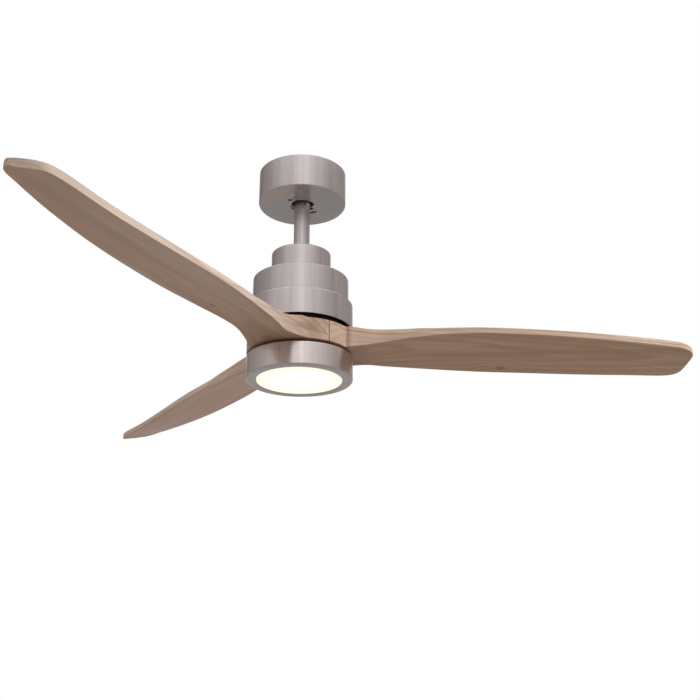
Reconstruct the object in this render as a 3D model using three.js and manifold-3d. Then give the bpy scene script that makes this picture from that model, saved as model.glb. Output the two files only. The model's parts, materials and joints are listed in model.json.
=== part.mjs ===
// Three-bladed ceiling fan with an LED light, hung from a short downrod.
// Millimetres, +Z up. The origin is on the fan's axis at the ceiling, so the whole fan lies below z = 0.
// blade_1 points along +X. Every piece is a mesh of its own, in the group of the body that it moves with.
import * as THREE from "three";
import { mergeVertices } from "three/addons/utils/BufferGeometryUtils.js";
import Module from "manifold-3d";

const wasm = await Module();
wasm.setup();

// ---------- driving dimensions ----------
const GAP = 0.3; // clearance between pieces that touch
const FINE = 40; // facets round a visible shell
const COARSE = 20; // facets round an inner piece
const SMALL = 8; // facets round a pin, screw or hole
const SHEET = 1.5; // thickness of the pressed metal shells

const ROD = { r: 13.4, bore: 11.4, top: -20, bottom: -184 };
const CANOPY = { r: 73.9, top: -0.8, bottom: -58, hole: 21.3, round: 2 };
const CANOPY_SCREW = { shank: 1.8, head: 3.8, height: 2.2, top: -48 };
const KEYHOLE = { r: 29, at: -115, sweep: -20, slot: 2.3, entry: 4.6 };
const BALL = { r: 24, z: -33, top: -23, bottom: -50, facets: 28, pin: -29 };
const PIN = 3; // radius of the cross pin in the ball and of the clevis pin in the yoke
const SEAT = { inner: BALL.r + GAP, outer: 26.5, low: 44, high: 90 };
const BRACKET = { x: 64, y: 100, plate: 2.5, bottom: -56, cup: SEAT.outer + GAP, cupWall: 2.5,
  rim: 92, throat: 18.5, entry: 29, entryTop: -32.5 };
const BRACKET_HOLES = { windowX: [7, 29], windowY: 30, slotR: 3, slotLength: 14, slotX: 18, slotY: 28,
  screwR: 2.2 };
const TERMINALS = { x: -8, y: 34, length: 34, width: 13, top: -BRACKET.plate - GAP, height: 11,
  well: 2, pitch: 10 };
const EARTH_SCREW = { x: -24, y: -34, shank: 1.8, head: 4, height: 2.3 };
const COVER = { r: 49.4, top: -152.3, bottom: -199.8, round: 1.2 };
const UPPER = { r: 79, top: -200.1, bottom: -244, round: 1.8 };
const LOWER = { r: 86, top: -244.5, bottom: -288.4, round: 2.5 };
const YOKE = { r: 19, top: -160, web: -192, bottom: -198, flange: 34, pin: -170, screw: -178,
  setScrew: 2, bolts: 27 };
const CLIP = { x: -YOKE.r - 3.5, wire: 0.8 };
const LEADS = { r: 2.6, y: 13.4 };
const SHAFT = { r: 8.5, bore: 5.5, top: -192.5, bottom: -350 };
const ROTOR = { r: 72, top: -249, split: -266, bottom: -290, boss: 60, wall: 3.5, shelfR: 14.5 };
const MAGNET = { outer: ROTOR.r - ROTOR.wall - GAP, inner: 63.5 };
const STATOR = { r: 62.5, hub: 26, top: -259, bottom: -276, teeth: 9, tooth: 11 };
const BEARING = { inner: 8.8, innerRace: 11.6, outerRace: 17.4, outer: 20, width: 11, balls: 7, ball: 2.7 };
const BOARD_RING = { inner: 20, outer: 68, low: -222, thick: 1.6,
  parts: [[14, 10, 12, 42, 20], [10, 22, 9, -45, 5], [18, 9, 14, 10, 48], [12, 12, 8, 5, -46]] };
const UPPER_BEARING = -243; // top face
const LOWER_BEARING = -284;
const WOOD = { top: -296, bottom: -331, hub: 86, hole: 32, screwR: 47, screwTurn: 24, seamTurn: 2 };
const BLADE_SCREW = { shank: 2.5, hole: 3, head: 4.6, height: 2.3 };
const CLAMP = { inner: 34, outer: 58, top: -331.3, bottom: -333.3 };
const LIGHT = { r: 86.35, top: -336, bottom: -373.5, mouth: 69.6, bevel: 1.6, flange: 14 };
const LIGHT_PLATE = { r: 84, top: -338, bottom: -340 };
const LIGHT_SCREW = { r: 78, shank: 1.7, head: 3.2, height: 1.9 };
const DIFFUSER = { r: 69.1, rim: 1.9, top: -358.7, face: -371, lug: 28 };
const TRAY = { r: 64, tab: 66.8, tabWidth: 34, top: -361, bottom: -362.6, chips: [[20, 6], [48, 12]] };
const TRAY_POST = { r: 3, at: 58 };
const DRIVER = { x: 24, y: 52, z: 15, at: 33 };

// Plan and section of one blade, as stations along X: [x, value].
const TIP = 652;
const LEAD_PLAN = [[81, -48], [94, -43.5], [126, -38.5], [157, -42.4], [230, -55.9],
  [310, -61.4], [430, -55.1], [540, -39.1], [622, -20.6]];
const LEAD_CORNER = [642.8, -15.9, TIP, -2.3, TIP, 4.6];
const TRAIL_PLAN = [[72, 51.5], [94.5, 42.5], [116, 40], [145, 45.7], [215, 53.5],
  [305, 59.6], [430, 58.2], [540, 56.5], [600, 57.8]];
const TRAIL_CORNER = [TIP - 0.2, 58.9, 642.9, 46.4, TIP, 7.6];
const LEAD_BOTTOM = [[78, -331], [95, -326.8], [126, -320.4], [157, -315.7], [194, -312.3],
  [240, -309.7], [320, -308.9], [480, -311.3], [TIP, -312.5]];
const TRAIL_BOTTOM = [[72, -331], [145, -331], [215, -331.7], [360, -333.7], [500, -335.9], [TIP, -334.9]];
const THICKNESS = [[78, 35], [90, 32.2], [104, 28.4], [126, 24], [157, 18.8], [194, 15.1], [230, 11.9],
  [330, 10.4], [TIP, 11.6]];
const STATIONS = [24, 34, 43, 50, 57, 64, 72, 80, 88, 96, 105, 115, 126, 140, 157, 178, 202, 230, 262,
  300, 345, 395, 445, 495, 545, 590, 608, 620, 629, 636, 641, 645, 648, 650.5, TIP];
const EDGE_BEVEL = 1.2;

// ---------- materials ----------
const finish = (color, metalness, roughness) => new THREE.MeshStandardMaterial({ color, metalness, roughness });
const NICKEL = finish(0xb4aca8, 1, 0.34);
const STEEL = finish(0x9a9ca0, 1, 0.4);
const BLACK_STEEL = finish(0x1c1c1e, 0.8, 0.5);
const LAMINATION = finish(0x5a5d63, 0.8, 0.55);
const COPPER = finish(0xa85a2e, 0.9, 0.35);
const MAGNETIC = finish(0x3a3a3d, 0.4, 0.6);
const RUBBER = finish(0x15161a, 0, 0.7);
const NYLON = finish(0xd9d6cc, 0, 0.5);
const BLACK_PLASTIC = finish(0x202124, 0, 0.55);
const BOARD = finish(0x1f5a3a, 0.1, 0.5);
const WHITE_BOARD = finish(0xe8e8e4, 0.1, 0.5);
const OAK = finish(0xa5866a, 0, 0.6);
const OPAL = finish(0xfffbea, 0, 0.4);
const CABLE = finish(0x3a3c40, 0, 0.5);

// ---------- solids ----------
const radians = THREE.MathUtils.degToRad;

// A closed geometry as a solid that can be cut and joined.
function solid(geometry) {
  const bare = geometry.clone();
  bare.deleteAttribute("normal");
  bare.deleteAttribute("uv");
  const merged = mergeVertices(bare, 1e-4);
  const mesh = { numProp: 3, vertProperties: merged.attributes.position.array,
    triVerts: new Uint32Array(merged.index.array) };
  const made = new wasm.Manifold(new wasm.Mesh(mesh));
  if (made.volume() > 0) return made;
  mesh.triVerts = mesh.triVerts.slice().reverse();
  return new wasm.Manifold(new wasm.Mesh(mesh));
}

function geometryOf(manifold) {
  const mesh = manifold.getMesh();
  const positions = new THREE.BufferAttribute(mesh.vertProperties, mesh.numProp);
  const geometry = new THREE.BufferGeometry().setAttribute("position", positions);
  geometry.setIndex(new THREE.BufferAttribute(mesh.triVerts, 1));
  geometry.computeVertexNormals();
  return geometry;
}

// A profile of [radius, z] pairs, or a closed THREE.Path in those coordinates, turned round the Z axis.
function turned(profile, facets = COARSE, arcSteps = 2) {
  const points = Array.isArray(profile)
    ? [...profile, profile[0]].map(([r, z]) => new THREE.Vector2(r, z))
    : profile.getPoints(arcSteps);
  return solid(new THREE.LatheGeometry(points, facets).rotateX(Math.PI / 2));
}

const tube = (inner, outer, low, high, facets) =>
  turned([[inner, low], [outer, low], [outer, high], [inner, high]], facets);

const disc = (r, low, high, facets = COARSE) =>
  solid(new THREE.CylinderGeometry(r, r, high - low, facets).rotateX(Math.PI / 2)
    .translate(0, 0, (low + high) / 2));

const block = (x, y, z, at = [0, 0, 0]) => solid(new THREE.BoxGeometry(x, y, z).translate(...at));

// A round bar along X, from x = low to x = high at height z.
const crossBar = (r, low, high, z, facets = SMALL) =>
  solid(new THREE.CylinderGeometry(r, r, high - low, facets).rotateZ(Math.PI / 2)
    .translate((low + high) / 2, 0, z));

// A spherical shell zone centred on the ball, from angle low to angle high, measured up from straight down.
function sphereZone(inner, outer, low, high) {
  const zone = new THREE.Path();
  zone.absarc(0, BALL.z, outer, radians(low - 90), radians(high - 90), false);
  zone.absarc(0, BALL.z, inner, radians(high - 90), radians(low - 90), true);
  zone.closePath();
  return turned(zone, BALL.facets, 3);
}

// The same solid turned by each of the given angles about Z, joined.
const spun = (piece, angles) =>
  angles.map((a) => piece.rotate([0, 0, a])).reduce((all, next) => all.add(next));

const around = (count, start = 0) => Array.from({ length: count }, (_, i) => start + (i * 360) / count);

const polar = (r, degrees) => [r * Math.cos(radians(degrees)), r * Math.sin(radians(degrees))];

// A screw that points up at (x, y), with its head between headLow and headHigh and its shank up to shankTop.
function screw([x, y], shankR, headR, headLow, headHigh, shankTop) {
  const head = disc(headR, headLow, headHigh, SMALL);
  const shank = disc(shankR, headHigh - 0.5, shankTop, SMALL);
  return head.add(shank).translate([x, y, 0]);
}

// ---------- the bodies, as groups ----------
const fan = new THREE.Group();
const bodies = {};
for (const name of ["root", "canopy", "ball_seat", "hanging", "coupling_cover", "rotor", "upper_balls",
  "lower_balls", "diffuser"]) {
  bodies[name] = new THREE.Group();
  fan.add(bodies[name]);
}

function piece(body, name, shape, material) {
  const mesh = new THREE.Mesh(geometryOf(shape), material.clone());
  mesh.name = name;
  bodies[body].add(mesh);
}

// ---------- ceiling side ----------
// The room inside the cradle, down to its throat, which the strap's lower plate makes way for.
function cradleRoom() {
  const wall = BRACKET.cup + BRACKET.cupWall / 2;
  const bowl = new THREE.Path();
  bowl.absarc(0, BALL.z, wall, radians(SEAT.low - 90), 0, false);
  bowl.lineTo(0, BALL.z);
  bowl.lineTo(0, BALL.z - wall * Math.cos(radians(SEAT.low)));
  bowl.closePath();
  return turned(bowl, BALL.facets, 3);
}

// A slot along Y for a ceiling screw, from (x, y) to (x, y + slotLength).
function ceilingSlot(x, y) {
  const { slotR, slotLength } = BRACKET_HOLES;
  const end = disc(slotR, -BRACKET.plate - 1, 1, SMALL);
  const run = block(2 * slotR, slotLength, BRACKET.plate + 2, [0, slotLength / 2, -BRACKET.plate / 2]);
  return end.add(run).add(end.translate([0, slotLength, 0])).translate([x, y, 0]);
}

// A strap bent into a box, with a spherical cradle that is open on its +X side so the ball can be hung in it.
function hangerBracket() {
  const { x, y, plate, bottom, cup, cupWall, rim, throat, entry, entryTop } = BRACKET;
  const { windowX, windowY, slotLength, slotX, slotY, screwR } = BRACKET_HOLES;
  const outside = block(x, y, -bottom, [0, 0, bottom / 2]);
  const inside = block(x + 2, y - 2 * plate, -bottom - 2 * plate, [0, 0, bottom / 2]);
  const cradle = sphereZone(cup, cup + cupWall, SEAT.low, rim);
  const rodEntry = block(x, entry, entryTop - bottom + 2, [x / 2, 0, (entryTop + bottom) / 2 - 1]);
  const rodThroat = disc(throat, bottom - 1, BALL.z, BALL.facets);
  const [from, to] = windowX;
  const cableWindow = block(to - from, windowY, 2 * plate + 2, [(from + to) / 2, 0, 0]);
  const slots = ceilingSlot(-slotX, slotY).add(ceilingSlot(slotX, -slotY - slotLength));
  const screwHole = disc(screwR, bottom - 1, bottom + plate + 1, SMALL).translate([KEYHOLE.r, 0, 0]);
  const screwHoles = spun(screwHole, [KEYHOLE.at, KEYHOLE.at + 180]);
  const strap = outside.subtract(inside).subtract(cradleRoom()).add(cradle);
  const holes = [rodEntry, rodThroat, cableWindow, slots, screwHoles];
  return holes.reduce((all, hole) => all.subtract(hole), strap);
}

// A connector strip with a row of three screw wells in its underside.
function terminalBlock() {
  const { x, y, length, width, top, height, well, pitch } = TERMINALS;
  const body = block(length, width, height, [x, y, top - height / 2]);
  const wells = [-1, 0, 1].map((i) => disc(well, top - height - 1, top - height / 2, SMALL)
    .translate([x + i * pitch, y, 0]));
  return wells.reduce((all, next) => all.subtract(next), body);
}

// A cup with a round lower edge, a hole for the ball, and two keyholes that drop over the canopy screws.
function canopy() {
  const { r, top, bottom, hole, round } = CANOPY;
  const path = new THREE.Path();
  path.moveTo(hole, bottom);
  path.lineTo(r - round, bottom);
  path.absarc(r - round, bottom + round, round, radians(-90), 0, false);
  path.lineTo(r, top);
  path.lineTo(r - SHEET, top);
  path.lineTo(r - SHEET, bottom + SHEET);
  path.lineTo(hole, bottom + SHEET);
  path.closePath();
  const low = bottom - 1;
  const high = bottom + SHEET + 1;
  const keyholePart = (radius, share) => disc(radius, low, high, SMALL)
    .translate([...polar(KEYHOLE.r, KEYHOLE.at + KEYHOLE.sweep * share), 0]);
  const steps = [0, 0.25, 0.5, 0.75, 1].map((share) => keyholePart(KEYHOLE.slot, share));
  const keyhole = steps.reduce((all, step) => all.add(step), keyholePart(KEYHOLE.entry, 1));
  return turned(path, FINE).subtract(spun(keyhole, [0, 180]));
}

function addCeilingSide() {
  piece("root", "hanger_bracket", hangerBracket(), STEEL);
  piece("root", "terminal_block", terminalBlock(), NYLON);
  const { x, y, shank, head, height } = EARTH_SCREW;
  const under = -BRACKET.plate - GAP;
  piece("root", "earth_screw", screw([x, y], shank, head, under - height, under, under + 0.2), STEEL);
  piece("canopy", "canopy", canopy(), NICKEL);
  [0, 180].forEach((turn, i) => {
    const at = polar(KEYHOLE.r, KEYHOLE.at + turn);
    const seat = CANOPY.bottom - GAP;
    const { shank, head, height, top } = CANOPY_SCREW;
    piece("canopy", `canopy_screw_${i + 1}`, screw(at, shank, head, seat - height, seat, top), STEEL);
  });
}

// ---------- ball joint, rod and yoke ----------
// A ball with flat ends, bored for the rod and for the pin that keeps it there.
function hangerBall() {
  const { r, z, top, bottom, facets, pin } = BALL;
  const ball = solid(new THREE.SphereGeometry(r, facets, facets / 2).rotateX(Math.PI / 2).translate(0, 0, z));
  const slice = block(3 * r, 3 * r, top - bottom, [0, 0, (top + bottom) / 2]);
  return ball.intersect(slice).subtract(disc(ROD.r + GAP, bottom - 1, top + 1))
    .subtract(crossBar(PIN + GAP, -r - 1, r + 1, pin));
}

function downrod() {
  const { bore, r, bottom, top } = ROD;
  return tube(bore, r, bottom, top, 32).subtract(crossBar(PIN + GAP, -r - 1, r + 1, BALL.pin))
    .subtract(crossBar(PIN + GAP, -r - 1, r + 1, YOKE.pin));
}

// Sleeve that takes the rod's lower end, with a web that holds the motor's hollow shaft.
function yoke() {
  const { r, top, web, bottom, flange } = YOKE;
  const bore = ROD.r + GAP;
  const body = turned([[SHAFT.r + GAP, bottom], [flange, bottom], [flange, bottom + 4], [r, bottom + 4],
    [r, top], [bore, top], [bore, web], [SHAFT.r + GAP, web]]);
  const holes = [
    crossBar(PIN + GAP, -r - 1, r + 1, YOKE.pin),
    crossBar(YOKE.setScrew + GAP, -r - 1, r + 1, YOKE.screw).rotate([0, 0, 90]),
    disc(LEADS.r + 1.3, bottom - 1, ROD.bottom + 1, SMALL).translate([0, LEADS.y, 0]),
    spun(disc(2.2, bottom - 1, bottom + 5, SMALL).translate([YOKE.bolts, 0, 0]), around(3, 60)),
  ];
  return holes.reduce((all, hole) => all.subtract(hole), body);
}

// The pin through yoke and rod, with a head at its +X end and a hole for the spring clip at the other.
const clevisPin = () => crossBar(PIN, -YOKE.r - 6, YOKE.r + 2, YOKE.pin)
  .add(crossBar(PIN + 1.6, YOKE.r + 0.4, YOKE.r + 3, YOKE.pin))
  .subtract(disc(CLIP.wire + GAP, YOKE.pin - 5, YOKE.pin + 5, SMALL).translate([CLIP.x, 0, 0]));

// A spring clip: one straight leg through the pin, and one leg that arches over it.
function hairpinClip() {
  const path = new THREE.CatmullRomCurve3([[0, -12], [0, 6], [0, 12], [4.2, 15], [7.2, 11], [5.4, 5], [4.9, 0],
    [5.4, -5], [7, -10]].map(([y, z]) => new THREE.Vector3(CLIP.x, y, YOKE.pin + z)));
  const wire = new THREE.Shape().absarc(0, 0, CLIP.wire, 0, 2 * Math.PI);
  return solid(new THREE.ExtrudeGeometry(wire, { steps: 22, extrudePath: path, curveSegments: 3 }));
}

// The motor's leads, down through the rod and beside the shaft's end into the motor housing.
function leadBundle() {
  const { r, y } = LEADS;
  const path = new THREE.CatmullRomCurve3([[6.3, -12], [6.3, -60], [6.3, -120], [6.3, -178], [7.2, -184],
    [10.6, -188], [y - 0.2, -193], [y, -199], [y, -208]].map(([across, z]) => new THREE.Vector3(0, across, z)));
  const section = new THREE.Shape().absarc(0, 0, r, 0, 2 * Math.PI);
  return solid(new THREE.ExtrudeGeometry(section, { steps: 26, extrudePath: path, curveSegments: 4 }));
}

function addSuspension() {
  const liner = sphereZone(SEAT.inner, SEAT.outer, SEAT.low, SEAT.high);
  piece("ball_seat", "ball_seat_liner", liner, BLACK_PLASTIC);
  piece("hanging", "hanger_ball", hangerBall(), RUBBER);
  piece("hanging", "ball_cross_pin", crossBar(PIN, 3 - BALL.r, BALL.r - 3, BALL.pin), STEEL);
  piece("hanging", "downrod", downrod(), NICKEL);
  piece("hanging", "yoke", yoke(), BLACK_STEEL);
  piece("hanging", "clevis_pin", clevisPin(), STEEL);
  piece("hanging", "hairpin_clip", hairpinClip(), STEEL);
  [90, -90].forEach((turn, i) => {
    const setScrew = crossBar(YOKE.setScrew, ROD.r + GAP, YOKE.r + 2.5, YOKE.screw).rotate([0, 0, turn]);
    piece("hanging", `yoke_set_screw_${i + 1}`, setScrew, STEEL);
  });
  piece("hanging", "lead_bundle", leadBundle(), CABLE);
}

// ---------- covers ----------
// A cup round the yoke, open below, that slides on the rod.
function couplingCover() {
  const { r, top, bottom, round } = COVER;
  const path = new THREE.Path();
  path.moveTo(r, bottom);
  path.lineTo(r, top - round);
  path.absarc(r - round, top - round, round, 0, radians(90), false);
  path.lineTo(ROD.r + 0.5, top);
  path.lineTo(ROD.r + 0.5, top - SHEET);
  path.lineTo(r - SHEET, top - SHEET);
  path.lineTo(r - SHEET, bottom);
  path.closePath();
  return turned(path, FINE);
}

// A housing tier: a flat top with a round shoulder, an opening of radius mouth in it, and an open bottom.
function housingTier({ r, top, bottom, round }, mouth) {
  const path = new THREE.Path();
  path.moveTo(r, bottom);
  path.lineTo(r, top - round);
  path.absarc(r - round, top - round, round, 0, radians(90), false);
  path.lineTo(mouth, top);
  path.lineTo(mouth, top - SHEET);
  path.lineTo(r - round, top - SHEET);
  path.lineTo(r - SHEET, top - round);
  path.lineTo(r - SHEET, bottom);
  path.closePath();
  return turned(path, FINE);
}

// The plate that carries the motor housing, with three screw holes.
function mountPlate() {
  const low = UPPER.top - SHEET - 3;
  const high = UPPER.top - SHEET - GAP;
  const hole = disc(1.9, low - 1, high + 1, SMALL).translate([55, 0, 0]);
  return tube(YOKE.flange + 2, 70, low, high, 36).subtract(spun(hole, around(3)));
}

function upperHousing() {
  const screwHoles = spun(disc(2.2, UPPER.top - 4, UPPER.top + 1, SMALL).translate([41.5, 0, 0]), around(3));
  return housingTier(UPPER, YOKE.flange + 0.6).subtract(screwHoles);
}

function addCovers() {
  piece("coupling_cover", "coupling_cover", couplingCover(), NICKEL);
  piece("hanging", "upper_housing", upperHousing(), NICKEL);
  piece("hanging", "lower_housing", housingTier(LOWER, UPPER.r - 8), NICKEL);
}

// ---------- motor ----------
const TOOTH_PITCH = 360 / STATOR.teeth;

function statorCore(extra = 0) {
  const { r, hub, top, bottom, tooth } = STATOR;
  const height = top - bottom + 2 * extra;
  const middle = (top + bottom) / 2;
  const arm = block(r - hub + 4, tooth + 2 * extra, height, [(r + hub) / 2 - 3, 0, middle]);
  const shoe = tube(r - 3.5 - extra, r, bottom - extra, top + extra, 36)
    .intersect(block(20, 24, 60, [r, 0, middle]));
  return tube(SHAFT.r + GAP, hub + extra, bottom - extra, top + extra)
    .add(spun(arm.add(shoe), around(STATOR.teeth)));
}

// A coil on each tooth, joined by the ring of leads under them.
function statorWindings() {
  const { r, hub, top, bottom, tooth } = STATOR;
  const low = hub + 6;
  const high = r - 5.5;
  const coil = block(high - low, tooth + 5.4, top - bottom + 7, [(low + high) / 2, 0, (top + bottom) / 2]);
  const leads = tube(low + 4, low + 9, bottom - 4.5, bottom - 2.5);
  return spun(coil, around(STATOR.teeth)).add(leads).subtract(statorCore(GAP));
}

const bearingRing = (inner, outer, top) => tube(inner, outer, top - BEARING.width, top);

// The balls of one bearing with the cage that carries them.
function bearingBalls(top) {
  const pitch = (BEARING.innerRace + BEARING.outerRace) / 2;
  const middle = top - BEARING.width / 2;
  const ball = solid(new THREE.SphereGeometry(BEARING.ball, 6, 4).translate(pitch, 0, middle));
  return spun(ball, around(BEARING.balls)).add(tube(pitch - 1, pitch + 1, middle - 1.2, middle + 1.2, 16));
}

// Upper half of the rotor's drum: its hub is a cup for the upper bearing, which stands on the cup's shelf.
function rotorUpperBell() {
  const seat = BEARING.outer + GAP;
  const hub = seat + 4;
  const shelf = UPPER_BEARING - BEARING.width - GAP;
  const { r, top, split, wall, shelfR } = ROTOR;
  return turned([[seat, UPPER_BEARING], [hub, UPPER_BEARING], [hub, top], [r - 4, top], [r, top - 4],
    [r, split], [r - wall, split], [r - wall, top - 4.5], [r - 5, top - 3.5], [hub, top - 3.5],
    [hub, shelf - 2], [shelfR, shelf - 2], [shelfR, shelf], [seat, shelf]], 36);
}

// Lower half of the drum, with the flange that the blades are screwed to.
function rotorLowerBell() {
  const seat = BEARING.outer + GAP;
  const { r, split, bottom, boss, wall, shelfR } = ROTOR;
  const flange = WOOD.top + GAP;
  const shelf = LOWER_BEARING + GAP;
  const bell = turned([[seat, flange], [boss, flange], [boss, bottom], [r - 4, bottom], [r, bottom + 4],
    [r, split - GAP], [r - wall, split - GAP], [r - wall, bottom + 6], [r - 5, bottom + 5],
    [shelfR, bottom + 8.5], [shelfR, shelf], [seat, shelf]], 36);
  const hole = (at) => disc(BLADE_SCREW.shank + GAP, flange - 1, flange + 8, SMALL).translate([...at, 0]);
  return bell.subtract(bladeScrewPlaces(hole));
}

const magnetRing = () => tube(MAGNET.inner, MAGNET.outer, STATOR.bottom - 1, STATOR.top - 1, 36);

function addMotor() {
  piece("hanging", "housing_mount_plate", mountPlate(), STEEL);
  piece("hanging", "stator_shaft", tube(SHAFT.bore, SHAFT.r, SHAFT.bottom, SHAFT.top), STEEL);
  piece("hanging", "stator_core", statorCore(), LAMINATION);
  piece("hanging", "stator_windings", statorWindings(), COPPER);
  piece("rotor", "rotor_upper_bell", rotorUpperBell(), BLACK_STEEL);
  piece("rotor", "rotor_lower_bell", rotorLowerBell(), BLACK_STEEL);
  piece("rotor", "magnet_ring", magnetRing(), MAGNETIC);
  for (const [place, top] of [["upper", UPPER_BEARING], ["lower", LOWER_BEARING]]) {
    piece("hanging", `${place}_bearing_inner_ring`, bearingRing(BEARING.inner, BEARING.innerRace, top), STEEL);
    piece("rotor", `${place}_bearing_outer_ring`, bearingRing(BEARING.outerRace, BEARING.outer, top), STEEL);
    piece(`${place}_balls`, `${place}_bearing_balls`, bearingBalls(top), STEEL);
  }
}

// A ring-shaped board with its parts on top: each row of parts is a block's x, y and z size and its centre.
function controlBoard() {
  const { inner, outer, low, thick, parts } = BOARD_RING;
  const top = low + thick;
  const hole = disc(1.9, low - 1, top + 1, SMALL).translate([outer - 6, 0, 0]);
  const board = tube(inner, outer, low, top, 36).subtract(spun(hole, around(3, 60)));
  return parts.reduce((all, [x, y, z, ...at]) => all.add(block(x, y, z, [...at, top + z / 2 - 0.1])), board);
}

// ---------- blades ----------
// A smooth curve through stations [x, value], read as a function of x.
function through(stations) {
  const curve = new THREE.SplineCurve(stations.map(([x, v]) => new THREE.Vector2(x, v)));
  const dense = curve.getPoints(40 * stations.length);
  return (x) => {
    if (x <= dense[0].x) return dense[0].y;
    const i = dense.findIndex((p) => p.x >= x);
    if (i < 0) return dense.at(-1).y;
    return THREE.MathUtils.mapLinear(x, dense[i - 1].x, dense[i].x, dense[i - 1].y, dense[i].y);
  };
}

// One side of the plan: round the hub, along the blade's edge and round the tip's corner, a Bezier curve.
function planSide(stations, side, corner) {
  const first = Math.atan2(stations[0][1], stations[0][0]);
  const path = new THREE.Path();
  path.absarc(0, 0, WOOD.hub, radians(75 * side), first * 1.06, side > 0);
  path.splineThru(stations.map(([x, y]) => new THREE.Vector2(x, y)));
  path.bezierCurveTo(...corner);
  return through(path.getPoints(6).map((p) => [p.x, p.y]));
}

const leadPlan = planSide(LEAD_PLAN, -1, LEAD_CORNER);
const trailPlan = planSide(TRAIL_PLAN, 1, TRAIL_CORNER);
const leadEdge = through(LEAD_PLAN);
const trailEdge = through(TRAIL_PLAN);
const leadBottom = through(LEAD_BOTTOM);
const trailBottom = through(TRAIL_BOTTOM);
const thickness = through(THICKNESS);

// The blade's section at x: a slanted slab with its four corners taken off.
function bladeSection(x) {
  const lead = leadPlan(x);
  const trail = trailPlan(x);
  const chord = trail - lead;
  const thick = thickness(x);
  const corner = Math.min(EDGE_BEVEL, chord / 5);
  const at = (y, up) => {
    const share = THREE.MathUtils.clamp(THREE.MathUtils.inverseLerp(leadEdge(x), trailEdge(x), y), 0, 1);
    return new THREE.Vector3(x, y, THREE.MathUtils.lerp(leadBottom(x), trailBottom(x), share) + up);
  };
  return [at(lead + corner, 0), at(trail - corner, 0), at(trail, corner), at(trail, thick - corner),
    at(trail - corner, thick), at(lead + corner, thick), at(lead, thick - corner), at(lead, corner)];
}

// A closed skin over rings of points of the same count, with a flat cap on each end.
function loft(rings) {
  const n = rings[0].length;
  const position = rings.flat().flatMap((p) => [p.x, p.y, p.z]);
  const index = [];
  for (let i = 0; i + 1 < rings.length; i++) {
    for (let j = 0; j < n; j++) {
      const [a, b] = [i * n + j, i * n + ((j + 1) % n)];
      index.push(a, b, a + n, b, b + n, a + n);
    }
  }
  const last = (rings.length - 1) * n;
  for (let j = 1; j + 1 < n; j++) index.push(0, j + 1, j, last, last + j, last + j + 1);
  const geometry = new THREE.BufferGeometry();
  geometry.setAttribute("position", new THREE.Float32BufferAttribute(position, 3));
  return geometry.setIndex(index);
}

// Two screws hold each blade: make(place) at each of their places, joined.
const screwAngles = [0, 120, 240].flatMap((blade) => [blade - WOOD.screwTurn, blade + WOOD.screwTurn]);
const bladeScrewPlaces = (make) =>
  screwAngles.map((a) => make(polar(WOOD.screwR, a))).reduce((all, next) => all.add(next));

// The third of the turn that one blade fills, less half a gap at each seam. It is turned a little off +X.
function thirdOfHub() {
  const wedge = new THREE.Shape();
  const apex = GAP / 2 / Math.sin(radians(60));
  wedge.moveTo(apex, 0);
  wedge.lineTo(apex + 400, -400 * Math.tan(radians(60)));
  wedge.lineTo(apex + 800, 0);
  wedge.lineTo(apex + 400, 400 * Math.tan(radians(60)));
  wedge.closePath();
  return solid(new THREE.ExtrudeGeometry(wedge, { depth: 100, bevelEnabled: false })
    .translate(0, 0, -380).rotateZ(radians(WOOD.seamTurn)));
}

function blade() {
  const rings = STATIONS.map(bladeSection);
  const hole = disc(WOOD.hole, WOOD.bottom - 2, WOOD.top + 2, 36);
  const screwHole = (at) => disc(BLADE_SCREW.hole, WOOD.bottom - 2, WOOD.top + 2, SMALL).translate([...at, 0]);
  return solid(loft(rings)).intersect(thirdOfHub()).subtract(hole).subtract(bladeScrewPlaces(screwHole));
}

function clampRing() {
  const { inner, outer, bottom, top } = CLAMP;
  const hole = (at) => disc(BLADE_SCREW.hole, bottom - 1, top + 1, SMALL).translate([...at, 0]);
  return tube(inner, outer, bottom, top, 36).subtract(bladeScrewPlaces(hole));
}

function addBlades() {
  const shape = blade();
  for (const i of [0, 1, 2]) piece("rotor", `blade_${i + 1}`, shape.rotate([0, 0, 120 * i]), OAK);
  piece("rotor", "blade_clamp_ring", clampRing(), BLACK_STEEL);
  screwAngles.forEach((a, i) => {
    const { shank, head, height } = BLADE_SCREW;
    const seat = CLAMP.bottom - GAP;
    const shape = screw(polar(WOOD.screwR, a), shank, head, seat - height, seat, WOOD.top + 6);
    piece("rotor", `blade_screw_${i + 1}`, shape, STEEL);
  });
}

// ---------- light ----------
function lightHousing() {
  const { r, top, bottom, mouth, bevel, flange } = LIGHT;
  const path = new THREE.Path();
  path.moveTo(mouth, bottom);
  path.lineTo(r - bevel, bottom);
  path.lineTo(r, bottom + bevel);
  path.lineTo(r, top);
  path.lineTo(r - flange, top);
  path.lineTo(r - flange, top - SHEET);
  path.lineTo(r - SHEET, top - SHEET);
  path.lineTo(r - SHEET, bottom + SHEET);
  path.lineTo(mouth, bottom + SHEET);
  path.closePath();
  const hole = disc(LIGHT_SCREW.shank + GAP, top - 4, top - 0.5, SMALL).translate([LIGHT_SCREW.r, 0, 0]);
  return turned(path, FINE).subtract(spun(hole, around(3, 90)));
}

function lightPlate() {
  const { r, top, bottom } = LIGHT_PLATE;
  const hole = disc(LIGHT_SCREW.shank + GAP, bottom - 1, top + 1, SMALL).translate([LIGHT_SCREW.r, 0, 0]);
  return tube(SHAFT.r + GAP, r, bottom, top, 36).subtract(spun(hole, around(3, 90)));
}

const UNDER_PLATE = LIGHT_PLATE.bottom - GAP; // where the pieces fixed under the light plate begin

const shaftNut = () => disc(14, UNDER_PLATE - 6.7, UNDER_PLATE, 6)
  .subtract(disc(SHAFT.r + GAP, UNDER_PLATE - 8, UNDER_PLATE + 1));

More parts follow.
